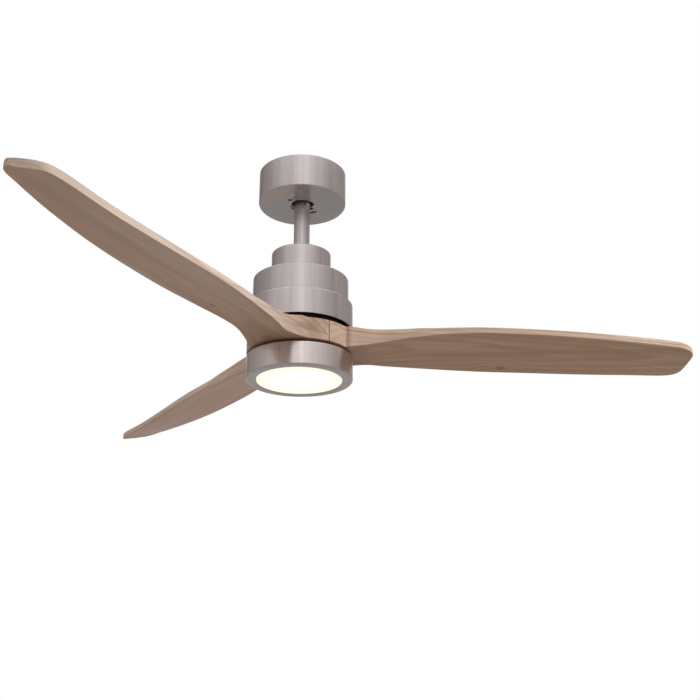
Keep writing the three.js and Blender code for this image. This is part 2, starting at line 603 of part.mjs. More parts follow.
// Tray with three tabs round its edge, which the diffuser's lugs hook over.
function ledTray() {
  const { r, tab, tabWidth, top, bottom, chips } = TRAY;
  const sector = tube(r - 2, tab, bottom, top, FINE).intersect(block(20, tabWidth, 40, [r, 0, top]));
  const plate = disc(r, bottom, top, FINE).add(spun(sector, around(3, 30)));
  const chip = block(3, 3, 1, [0, 0, bottom - 0.4]);
  return chips.reduce((all, [ring, count]) =>
    all.add(spun(chip.translate([ring, 0, 0]), around(count))), plate);
}

// Opal dish with an upstanding rim, and three lugs inside the rim that sit on the tray's tabs.
function diffuser() {
  const { r, rim, top, face, lug } = DIFFUSER;
  const path = new THREE.Path();
  path.moveTo(0, LIGHT.bottom + 0.2);
  path.lineTo(r - 1, LIGHT.bottom + 0.2);
  path.lineTo(r, LIGHT.bottom + 1.2);
  path.lineTo(r, top);
  path.lineTo(r - rim, top);
  path.lineTo(r - rim, face);
  path.lineTo(0, face);
  const lugs = tube(TRAY.r + 0.6, r - rim + 0.5, TRAY.top + GAP, top, FINE)
    .intersect(spun(block(20, lug, 60, [r, 0, top]), around(3, 30)));
  return turned(path, FINE).add(lugs);
}

function addLight() {
  const spacerBottom = LIGHT_PLATE.top + GAP;
  const spacerTop = LOWER_BEARING - BEARING.width - GAP;
  piece("hanging", "shaft_spacer", tube(SHAFT.r + GAP, 11.5, spacerBottom, spacerTop), STEEL);
  piece("hanging", "light_plate", lightPlate(), STEEL);
  piece("hanging", "shaft_nut", shaftNut(), STEEL);
  piece("hanging", "light_housing", lightHousing(), NICKEL);
  around(3, 90).forEach((a, i) => {
    const { r, shank, head, height } = LIGHT_SCREW;
    const shape = screw(polar(r, a), shank, head, UNDER_PLATE - height, UNDER_PLATE, LIGHT.top - 0.7);
    piece("hanging", `light_screw_${i + 1}`, shape, STEEL);
    const post = disc(TRAY_POST.r, TRAY.top + GAP, UNDER_PLATE, SMALL);
    piece("hanging", `tray_post_${i + 1}`, post.translate([...polar(TRAY_POST.at, a), 0]), NYLON);
  });
  const driver = block(DRIVER.x, DRIVER.y, DRIVER.z, [DRIVER.at, 0, UNDER_PLATE - DRIVER.z / 2]);
  piece("hanging", "led_driver", driver, BLACK_PLASTIC);
  piece("hanging", "led_tray", ledTray(), WHITE_BOARD);
  piece("diffuser", "diffuser", diffuser(), OPAL);
}

addCeilingSide();
addSuspension();
addCovers();
addMotor();
piece("hanging", "control_board", controlBoard(), BOARD);
addBlades();
addLight();

export default fan;
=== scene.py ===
"""The looks of a three-bladed ceiling fan with a light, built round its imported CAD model.

Metres, +Z up. The fan hangs from the ceiling plane z = 0 on the axis x = y = 0.
"""

import json
import math

import bpy
import numpy as np
from mathutils import Matrix, Vector


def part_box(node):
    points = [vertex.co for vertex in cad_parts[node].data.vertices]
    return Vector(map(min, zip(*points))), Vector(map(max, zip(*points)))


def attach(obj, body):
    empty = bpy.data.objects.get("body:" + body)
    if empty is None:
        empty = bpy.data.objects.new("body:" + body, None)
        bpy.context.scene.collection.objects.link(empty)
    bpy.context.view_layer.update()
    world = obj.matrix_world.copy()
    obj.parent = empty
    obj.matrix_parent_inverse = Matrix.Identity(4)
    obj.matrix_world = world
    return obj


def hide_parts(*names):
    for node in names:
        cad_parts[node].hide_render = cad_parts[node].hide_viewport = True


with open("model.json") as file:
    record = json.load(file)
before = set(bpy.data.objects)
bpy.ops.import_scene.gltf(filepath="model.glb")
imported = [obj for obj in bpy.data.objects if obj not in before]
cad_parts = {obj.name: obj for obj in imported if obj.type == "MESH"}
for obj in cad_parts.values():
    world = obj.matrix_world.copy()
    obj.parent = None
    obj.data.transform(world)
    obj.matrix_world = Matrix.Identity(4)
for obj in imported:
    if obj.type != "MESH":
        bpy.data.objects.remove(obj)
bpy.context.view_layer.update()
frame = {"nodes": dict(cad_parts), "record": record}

MM = 0.001
NODES = frame["nodes"]

# ---------- camera ----------
CAMERA_AT = Vector((0.0, -1.5620, -0.8886))
CAMERA_YAW = 0.0523  # radians to the right of +Y
CAMERA_PITCH = 0.3493  # radians above the horizon
CAMERA_ROLL = -0.0005
CAMERA_LENS = 52.57  # mm, on a sensor of CAMERA_SENSOR
CAMERA_SENSOR = 36.0
CAMERA_NEAR, CAMERA_FAR = 0.05, 60.0


def add_camera():
    """The photo's camera, as a fit of the fan's outlines placed it."""
    yaw, pitch, roll = CAMERA_YAW, CAMERA_PITCH, CAMERA_ROLL
    level = Vector((math.sin(yaw), math.cos(yaw), 0.0))
    forward = math.cos(pitch) * level + Vector((0.0, 0.0, math.sin(pitch)))
    right = Vector((math.cos(yaw), -math.sin(yaw), 0.0))
    up = right.cross(forward)
    right, up = (
        math.cos(roll) * right + math.sin(roll) * up,
        -math.sin(roll) * right + math.cos(roll) * up,
    )
    camera = bpy.data.objects.new("camera", bpy.data.cameras.new("camera"))
    bpy.context.scene.collection.objects.link(camera)
    camera.data.lens = CAMERA_LENS
    camera.data.sensor_width = CAMERA_SENSOR
    camera.data.clip_start = CAMERA_NEAR
    camera.data.clip_end = CAMERA_FAR
    turn = Matrix((right, up, -forward)).transposed()
    camera.matrix_world = Matrix.Translation(CAMERA_AT) @ turn.to_4x4()
    bpy.context.scene.camera = camera


# ---------- shader nodes ----------
class Shader:
    """A node tree that is written as nested calls: each call adds a node and returns its first output."""

    def __init__(self, tree):
        self.tree = tree

    def node(self, kind, *inputs, out=0, **settings):
        made = self.tree.nodes.new(kind)
        for key, value in settings.items():
            setattr(made, key, value)
        for i, value in enumerate(inputs):
            self.feed(made.inputs[i], value)
        return made.outputs[out] if made.outputs else made

    def feed(self, socket, value):
        if value is None:
            return
        if isinstance(value, bpy.types.NodeSocket):
            self.tree.links.new(value, socket)
        else:
            socket.default_value = value

    def math(self, operation, a, b=None, c=None):
        return self.node("ShaderNodeMath", a, b, c, operation=operation)

    def coordinates(self, kind="Object"):
        return self.tree.nodes.new("ShaderNodeTexCoord").outputs[kind]

    def split(self, vector):
        made = self.tree.nodes.new("ShaderNodeSeparateXYZ")
        self.tree.links.new(vector, made.inputs[0])
        return made.outputs[0], made.outputs[1], made.outputs[2]

    def joined(self, x, y, z):
        return self.node("ShaderNodeCombineXYZ", x, y, z)

    def length(self, a, b):
        return self.math("SQRT", self.math("ADD", self.math("MULTIPLY", a, a), self.math("MULTIPLY", b, b)))

    def noise(self, vector, scale=1.0, detail=3.0, rough=0.55):
        made = self.tree.nodes.new("ShaderNodeTexNoise")
        self.feed(made.inputs["Vector"], vector)
        made.inputs["Scale"].default_value = scale
        made.inputs["Detail"].default_value = detail
        made.inputs["Roughness"].default_value = rough
        return made.outputs["Fac"]

    def ramp(self, value, stops, interpolation="LINEAR"):
        """Maps value to a colour by stops of (position, colour), a colour being a grey or three numbers."""
        made = self.tree.nodes.new("ShaderNodeValToRGB")
        made.color_ramp.interpolation = interpolation
        elements = made.color_ramp.elements
        while len(elements) < len(stops):
            elements.new(1.0)
        for element, (position, colour) in zip(elements, stops):
            element.position = position
            rgb = (colour,) * 3 if isinstance(colour, (int, float)) else colour
            element.color = (*rgb, 1.0)
        self.feed(made.inputs[0], value)
        return made.outputs[0]

    def ranged(self, value, low, high, to_low=0.0, to_high=1.0):
        """Runs smoothly from to_low to to_high as value goes from low to high, and is level beyond them."""
        made = self.tree.nodes.new("ShaderNodeMapRange")
        made.interpolation_type = "SMOOTHSTEP"
        for i, number in enumerate((value, low, high, to_low, to_high)):
            self.feed(made.inputs[i], number)
        return made.outputs[0]

    def mixed(self, share, a, b, blend="MIX"):
        made = self.tree.nodes.new("ShaderNodeMix")
        made.data_type = "RGBA"
        made.blend_type = blend
        self.feed(made.inputs[0], share)
        self.feed(made.inputs[6], colour4(a))
        self.feed(made.inputs[7], colour4(b))
        return made.outputs[2]

    def bump(self, height, distance, strength=1.0):
        made = self.tree.nodes.new("ShaderNodeBump")
        made.inputs["Strength"].default_value = strength
        made.inputs["Distance"].default_value = distance
        self.feed(made.inputs["Height"], height)
        return made.outputs["Normal"]


def colour4(value):
    return (*value, 1.0) if isinstance(value, tuple) and len(value) == 3 else value


def material(name, **fixed):
    """A new Principled material and its Shader; fixed are values set on the shader's own sockets."""
    made = bpy.data.materials.new(name)
    made.use_nodes = True
    shader = Shader(made.node_tree)
    principled = made.node_tree.nodes["Principled BSDF"]
    for key, value in fixed.items():
        principled.inputs[key.replace("_", " ")].default_value = colour4(value)
    return made, shader, principled


# ---------- studio ----------
FLOOR_Z = -2.4
FLOOR_HALF = 14.0
FLOOR_DARK, FLOOR_LIGHT = (0.86, 0.86, 0.855), (0.9, 0.9, 0.895)
WHITE = (1.0, 1.0, 1.0)
UNDER_GLOW = 0.33  # brightness of the studio below the horizon
OVERHEAD = 1.2  # brightness straight above
# The floor's glow and the overhead light run into the walls between these heights of a direction,
# which are from -1 straight down to 1 straight up.
UNDER_FADE, OVERHEAD_FADE = (-0.26, -0.08), (0.55, 0.9)
KEY_AT, KEY_SIZE, KEY_POWER, KEY_COLOUR = (5.4, -1.75, 1.9), 3.2, 330.0, (0.90, 0.97, 1.06)
FILL_AT, FILL_SIZE, FILL_POWER, FILL_COLOUR = (0.0, -0.6, -2.2), 2.0, 5.0, (1.0, 0.86, 0.72)
LIGHTS_AIM = Vector((0.0, 0.0, -0.2))  # both lights point here
DIM, BRIGHT = 0.35, 0.70  # brightnesses between which the studio's tint runs from DIM_TINT to BRIGHT_TINT
DIM_TINT, BRIGHT_TINT = (1.02, 0.945, 0.925), (1.02, 1.0, 1.0)

# Brightness of the studio round the horizon, by degrees right of the camera's side: a wide bright card
# behind the camera, dim walls at the sides and a pale wall behind the fan.
AROUND = [(-180, 0.85), (-165, 0.75), (-150, 0.20), (-120, 0.35), (-90, 0.42), (-60, 0.60),
          (-45, 0.72), (-30, 0.72), (5, 1.08), (30, 0.75), (60, 0.57), (75, 0.40), (90, 0.45),
          (120, 0.42), (150, 0.35), (165, 0.75), (180, 0.85)]


def studio_tint(v):
    """A brightness as a colour: the darker the studio, the warmer."""
    return tuple(v * np.interp(v, (DIM, BRIGHT), tints) for tints in zip(DIM_TINT, BRIGHT_TINT))


def add_world():
    """Plain white to the eye; for light and reflections, a soft studio round the fan."""
    world = bpy.data.worlds.new("studio")
    bpy.context.scene.world = world
    world.use_nodes = True
    world.node_tree.nodes.clear()
    s = Shader(world.node_tree)
    x, y, z = s.split(s.coordinates("Generated"))
    turn = s.math("ARCTAN2", x, s.math("MULTIPLY", y, -1.0))
    share = s.math("MULTIPLY_ADD", turn, 0.5 / math.pi, 0.5)
    around = s.ramp(share, [((a + 180) / 360, studio_tint(v)) for a, v in AROUND], "EASE")
    upper = s.mixed(s.ranged(z, *OVERHEAD_FADE), around, (OVERHEAD,) * 3)
    light = s.mixed(s.ranged(z, *UNDER_FADE), (UNDER_GLOW,) * 3, upper)
    seen = s.node("ShaderNodeLightPath", out=0)
    shown = s.mixed(seen, light, WHITE)
    background = s.node("ShaderNodeBackground", shown, 1.0)
    s.node("ShaderNodeOutputWorld", background)


def add_area(name, at, size, power, colour):
    """A soft square light, aimed at the fan, that lights it but is not seen or reflected."""
    data = bpy.data.lights.new(name, "AREA")
    data.energy = power
    data.size = size
    data.color = colour
    light = bpy.data.objects.new(name, data)
    light.location = at
    light.rotation_mode = "QUATERNION"
    light.rotation_quaternion = (LIGHTS_AIM - Vector(at)).to_track_quat("-Z", "Y")
    light.visible_glossy = False
    light.visible_camera = False
    bpy.context.scene.collection.objects.link(light)


def add_floor():
    """A pale floor far below, for views from above. The photo's camera looks up and doesn't see it."""
    made, s, principled = material("pale_floor", Roughness=0.8)
    tint = s.ramp(s.noise(s.coordinates(), 1.6, 2.0), [(0.3, FLOOR_DARK), (0.7, FLOOR_LIGHT)])
    s.feed(principled.inputs["Base Color"], tint)
    h = FLOOR_HALF
    corners = [(-h, -h, FLOOR_Z), (h, -h, FLOOR_Z), (h, h, FLOOR_Z), (-h, h, FLOOR_Z)]
    floor = new_object("floor", corners, [(0, 1, 2, 3)], [made])
    floor.visible_diffuse = False
    floor.visible_glossy = False


# ---------- meshes ----------
def new_object(name, vertices, faces, mats=()):
    mesh = bpy.data.meshes.new(name)
    mesh.from_pydata([tuple(map(float, v)) for v in vertices], [], faces)
    mesh.update()
    made = bpy.data.objects.new(name, mesh)
    bpy.context.scene.collection.objects.link(made)
    for each in mats:
        mesh.materials.append(each)
    return made


def soften(obj, degrees=32.0):
    """Smooth shading, with edges sharper than this left crisp."""
    obj.data.shade_smooth()
    obj.data.set_sharp_from_angle(angle=math.radians(degrees))


def filleted(corners, steps=6):
    """A closed outline in mm, as a list of (r, z), from its corners, each given as (r, z, fillet radius)."""
    out = []
    n = len(corners)
    for i, (r, z, radius) in enumerate(corners):
        here = np.array((r, z), float)
        if radius <= 0:
            out.append(tuple(here))
            continue
        before = np.array(corners[i - 1][:2], float) - here
        after = np.array(corners[(i + 1) % n][:2], float) - here
        before /= np.linalg.norm(before)
        after /= np.linalg.norm(after)
        half = math.acos(max(-1.0, min(1.0, float(before @ after)))) / 2
        reach = radius / math.tan(half)
        middle = before + after
        centre = here + middle / np.linalg.norm(middle) * radius / math.sin(half)
        first, last = here + before * reach - centre, here + after * reach - centre
        a0, a1 = math.atan2(first[1], first[0]), math.atan2(last[1], last[0])
        sweep = (a1 - a0 + math.pi) % (2 * math.pi) - math.pi
        for k in range(steps + 1):
            a = a0 + sweep * k / steps
            out.append((centre[0] + radius * math.cos(a), centre[1] + radius * math.sin(a)))
    return out


def lathe(name, outline, mats, segments=160):
    """The closed outline of (r, z) in mm turned round the axis. A point with r = 0 is on the axis."""
    n = len(outline)
    if signed_area(outline) < 0:
        outline = outline[::-1]
    vertices = []
    rows = []
    for r, z in outline:
        count = 1 if r < 1e-6 else segments
        rows.append((len(vertices), count))
        for k in range(count):
            a = 2 * math.pi * k / segments
            vertices.append((r * MM * math.cos(a), r * MM * math.sin(a), z * MM))
    faces = []
    for i in range(n):
        (s0, c0), (s1, c1) = rows[i], rows[(i + 1) % n]
        if c0 == 1 and c1 == 1:
            continue
        for k in range(segments):
            m = (k + 1) % segments
            if c0 == 1:
                faces.append((s0, s1 + m, s1 + k))
            elif c1 == 1:
                faces.append((s0 + k, s0 + m, s1))
            else:
                faces.append((s0 + k, s0 + m, s1 + m, s1 + k))
    made = new_object(name, vertices, faces, mats)
    soften(made)
    return made


def prism_faces(n):
    """The faces of a prism whose vertices are the n of one end and then the n of the other."""
    sides = [(i, (i + 1) % n, n + (i + 1) % n, n + i) for i in range(n)]
    return [tuple(range(n - 1, -1, -1)), tuple(range(n, 2 * n)), *sides]


def prism(name, outline, low, high):
    """A closed outline of (x, y) in mm, made solid from low to high."""
    if signed_area(outline) < 0:
        outline = outline[::-1]
    vertices = [(x * MM, y * MM, z * MM) for z in (low, high) for x, y in outline]
    return new_object(name, vertices, prism_faces(len(outline)))


def signed_area(outline):
    return sum(a[0] * b[1] - b[0] * a[1] for a, b in zip(outline, outline[1:] + outline[:1]))


def circle(x, y, r, count=32):
    return [(x + r * math.cos(2 * math.pi * k / count), y + r * math.sin(2 * math.pi * k / count))
            for k in range(count)]


def apply_modifiers(obj):
    graph = bpy.context.evaluated_depsgraph_get()
    graph.update()
    mesh = bpy.data.meshes.new_from_object(obj.evaluated_get(graph))
    obj.modifiers.clear()
    obj.data = mesh


def combine(obj, tool, operation="DIFFERENCE"):
    """Cuts obj with tool, or joins or intersects them, and removes tool."""
    step = obj.modifiers.new("combine", "BOOLEAN")
    step.operation = operation
    step.solver = "EXACT"
    step.object = tool
    apply_modifiers(obj)
    bpy.data.objects.remove(tool)


def polar(r, degrees):
    return r * math.cos(math.radians(degrees)), r * math.sin(math.radians(degrees))


# ---------- metals ----------
BRUSH_LONG, BRUSH_FINE = 2.2, 1900.0  # brush marks to a radian round the axis, and to a metre across them
STREAKS_ROUND, STREAKS_UP = 10.0, 3.0  # faint streaks to a radian round the axis, and to a metre along it
SHEET_STEEL = 0.00025  # half the thickness of a lamination, in metres
WIRE_WAVES = 5200.0  # phase of the windings' ripple, in radians to a metre
NICKEL = (0.565, 0.515, 0.505), (0.645, 0.595, 0.585)
# The ring's copy of the nickel is brighter and warmer than the rest: painted light.
RING_NICKEL_PAINTED_LIGHT = (0.665, 0.59, 0.565), (0.755, 0.675, 0.65)


def brush_lines(s, turn):
    """A value in streaks that run round the axis, as brushing on a lathe leaves them."""
    x, y, z = s.split(s.coordinates())
    radius = s.length(x, y)
    fine = s.joined(s.math("MULTIPLY", turn, BRUSH_LONG), s.math("MULTIPLY", radius, BRUSH_FINE),
                    s.math("MULTIPLY", z, BRUSH_FINE))
    return s.noise(fine, 1.0, 3.0, 0.6)


def brushed_nickel(name, dark, light):
    """Fine marks round the axis, which smear reflections along it, and faint streaks along the axis."""
    made, s, p = material(name, Metallic=1.0, Anisotropic=0.8, Anisotropic_Rotation=0.25)
    x, y, z = s.split(s.coordinates())
    turn = s.math("ARCTAN2", y, x)
    lines = brush_lines(s, turn)
    upright = s.joined(s.math("MULTIPLY", turn, STREAKS_ROUND), 0.0, s.math("MULTIPLY", z, STREAKS_UP))
    streaks = s.noise(upright, 1.0, 3.0, 0.6)
    tone = s.math("MULTIPLY_ADD", lines, 0.12, s.math("MULTIPLY", streaks, 0.88))
    colour = s.ramp(tone, [(0.38, dark), (0.62, light)])
    s.feed(p.inputs["Base Color"], colour)
    s.feed(p.inputs["Roughness"], s.ranged(lines, 0.3, 0.7, 0.25, 0.36))
    s.feed(p.inputs["Normal"], s.bump(lines, 0.00002, 0.10))
    tangent = s.tree.nodes.new("ShaderNodeTangent")
    tangent.direction_type = "RADIAL"
    tangent.axis = "Z"
    s.feed(p.inputs["Tangent"], tangent.outputs[0])
    return made


def plain_metal(name, dark, light, roughness, grain=900.0):
    """Rolled, pressed or turned metal: fine grain, and faint cloudy stains."""
    made, s, p = material(name, Metallic=1.0)
    where = s.coordinates()
    fine = s.noise(where, grain, 4.0, 0.65)
    cloud = s.noise(where, 35.0, 3.0, 0.5)
    both = s.math("MULTIPLY_ADD", cloud, 0.6, s.math("MULTIPLY", fine, 0.4))
    s.feed(p.inputs["Base Color"], s.ramp(both, [(0.35, dark), (0.65, light)]))
    s.feed(p.inputs["Roughness"], s.ranged(both, 0.3, 0.7, roughness - 0.06, roughness + 0.08))
    s.feed(p.inputs["Normal"], s.bump(fine, 0.00002, 0.4))
    return made


def coated(name, dark, light, roughness, grain=1400.0):
    """Powder coat, rubber or moulded plastic: a fine pimpled texture over a slightly uneven colour."""
    made, s, p = material(name)
    where = s.coordinates()
    fine = s.noise(where, grain, 2.0, 0.5)
    cloud = s.noise(where, 60.0, 3.0, 0.55)
    s.feed(p.inputs["Base Color"], s.ramp(cloud, [(0.3, dark), (0.7, light)]))
    s.feed(p.inputs["Roughness"], s.ranged(cloud, 0.3, 0.7, roughness - 0.05, roughness + 0.06))
    s.feed(p.inputs["Normal"], s.bump(fine, 0.00005, 0.4))
    return made


def lamination():
    """Stacked sheet steel: thin dark joints one above another."""
    made, s, p = material("lamination", Metallic=0.85)
    z = s.split(s.coordinates())[2]
    sheet = s.math("PINGPONG", z, SHEET_STEEL)
    joint = s.ranged(sheet, 0.00002, 0.00008, 0.0, 1.0)
    cloud = s.noise(s.coordinates(), 220.0, 3.0)
    metal = s.ramp(cloud, [(0.3, (0.13, 0.135, 0.15)), (0.7, (0.22, 0.225, 0.24))])
    s.feed(p.inputs["Base Color"], s.mixed(joint, (0.03, 0.03, 0.032), metal))
    s.feed(p.inputs["Roughness"], s.ranged(cloud, 0.3, 0.7, 0.45, 0.62))
    s.feed(p.inputs["Normal"], s.bump(joint, 0.00006, 0.5))
    return made


def copper():
    """Enamelled wire wound in layers."""
    made, s, p = material("copper", Metallic=0.9, Coat_Weight=0.6)
    x, y = s.split(s.coordinates())[:2]
    wire = s.math("ABSOLUTE", s.math("SINE", s.math("MULTIPLY", s.length(x, y), WIRE_WAVES)))
    tint = s.noise(s.coordinates(), 300.0, 2.0)
    s.feed(p.inputs["Base Color"], s.ramp(tint, [(0.3, (0.42, 0.13, 0.05)), (0.7, (0.66, 0.27, 0.12))]))
    s.feed(p.inputs["Roughness"], s.ranged(tint, 0.3, 0.7, 0.28, 0.4))
    s.feed(p.inputs["Normal"], s.bump(wire, 0.0003, 0.7))
    return made


def circuit_board():
    """Green solder mask over a grid of tracks, with specks of solder."""
    made, s, p = material("circuit_board", Coat_Weight=0.4)
    where = s.coordinates()
    tracks = s.node("ShaderNodeTexBrick", where, (0.012, 0.10, 0.045, 1), (0.018, 0.13, 0.06, 1),
                    (0.03, 0.2, 0.09, 1), 160.0)
    speck = s.ranged(s.noise(where, 900.0, 1.0), 0.66, 0.7, 0.0, 1.0)
    s.feed(p.inputs["Base Color"], s.mixed(speck, tracks, (0.6, 0.6, 0.58)))
    s.feed(p.inputs["Roughness"], s.ranged(speck, 0.0, 1.0, 0.45, 0.25))
    s.feed(p.inputs["Normal"], s.bump(speck, 0.0001, 0.5))
    return made


def led_board():
    """White solder mask, with yellow phosphor on the chips that stand below it."""
    made, s, p = material("led_board")
    z = s.split(s.coordinates())[2]
    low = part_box("led_tray")[0].z
    chip = s.ranged(z, low + 0.0002, low + 0.0005, 1.0, 0.0)
    cloud = s.noise(s.coordinates(), 120.0, 3.0)
    mask = s.ramp(cloud, [(0.3, (0.78, 0.78, 0.76)), (0.7, (0.86, 0.86, 0.84))])
    s.feed(p.inputs["Base Color"], s.mixed(chip, mask, (0.85, 0.72, 0.2)))
    s.feed(p.inputs["Roughness"], s.ranged(cloud, 0.3, 0.7, 0.38, 0.5))
    s.feed(p.inputs["Normal"], s.bump(s.noise(s.coordinates(), 700.0, 2.0), 0.00004, 0.4))
    return made


GLOW_MIDDLE, GLOW_SIDE, GLOW_EDGE = (1.0, 0.985, 0.86), (0.94, 0.90, 0.68), (0.84, 0.79, 0.55)
SIDE_FADE, EDGE_FADE = (0.030, 0.066), (0.0655, 0.0692)  # metres from the axis where each runs into the next


def opal():
    """Frosted polycarbonate, lit from behind: even, warmer towards the rim and dim at its very edge."""
    made, s, p = material("opal_diffuser", Emission_Strength=0.82)
    x, y = s.split(s.coordinates())[:2]
    reach = s.length(x, y)
    inner = s.mixed(s.ranged(reach, *SIDE_FADE), GLOW_MIDDLE, GLOW_SIDE)
    glow = s.mixed(s.ranged(reach, *EDGE_FADE), inner, GLOW_EDGE)
    frost = s.noise(s.coordinates(), 1500.0, 2.0)
    s.feed(p.inputs["Base Color"], s.ramp(frost, [(0.3, (0.80, 0.79, 0.74)), (0.7, (0.86, 0.85, 0.80))]))
    s.feed(p.inputs["Roughness"], s.ranged(frost, 0.3, 0.7, 0.38, 0.5))
    s.feed(p.inputs["Emission Color"], glow)
    s.feed(p.inputs["Normal"], s.bump(frost, 0.00003, 0.3))
    return made


# ---------- wood ----------
GLUE_SLOPE, GLUE_DROP = 0.14, 0.3092  # the glue line between a blade's two layers: z + slope * y + drop = 0
SEAM_HALF = 60.0  # degrees from the middle of a blade's share of the hub to its seams
SEAM_TURN = 2.0  # degrees from a blade's centre line to the middle of its share
PITH_X, PITH_Z, PITH_SLOPE = 0.30, -0.372, 0.042  # the rings' centre line, which dips towards the tip
RINGS = 120.0  # growth rings to a metre
KNOT_NARROW = 0.55  # a knot's width as a share of its length
HUB_SHADE_FADE = (0.09, 0.15)  # metres from the axis over which the painted shade round the hub ends
PLANK = [(0.32, (0.43, 0.27, 0.17)), (0.50, (0.58, 0.395, 0.268)), (0.66, (0.70, 0.51, 0.372))]
LATE_WOOD, DARK_STREAK, STRIPE = (0.30, 0.175, 0.105), (0.22, 0.135, 0.085), (0.37, 0.24, 0.155)
FIBRE, PORE, KNOT = (0.32, 0.21, 0.135), (0.22, 0.14, 0.09), (0.13, 0.07, 0.04)
LOWER_LAYER, GLUE, SEAM = (0.58, 0.39, 0.30), (0.25, 0.15, 0.09), (0.10, 0.05, 0.03)
# These tints multiply the wood's colour; the second is painted shade, darker near the hub, and the last two
# are painted light on the blade's sides, at the hub and beyond, which makes the sides paler and cooler than
# the flat faces.
LEAD_STAVE, HUB_PAINTED_SHADE = (1.09, 0.99, 0.92), (0.76, 0.69, 0.63)
PAINTED_SIDE_LIGHT_NEAR, PAINTED_SIDE_LIGHT_FAR = (0.98, 1.14, 1.28), (1.11, 1.30, 1.45)
PAINTED_SIDE_LIGHT_FADE = (0.09, 0.40)

# By blade: a seed, its tint, the strength of the dark streak along its middle and of the tint of the
# stave before it, and its knots as (x, y, size) in metres. The tint is partly the wood's own tone and partly
# painted sheen: the second blade's is paler and greyer, standing in for the sheen it catches at a grazing
# angle.
GRAIN_AND_SHEEN = {
    1: (1.7, (1.0, 0.94, 0.88), 0.25, [(0.3371, 0.0459, 0.0068), (0.5879, 0.0325, 0.0020)]),
    2: (3.9, (1.22, 1.16, 1.18), 0.15, [(0.4305, -0.0312, 0.0014)]),
    3: (5.6, (1.02, 0.99, 0.98), 0.80, [(0.2118, -0.0254, 0.0050)]),
}


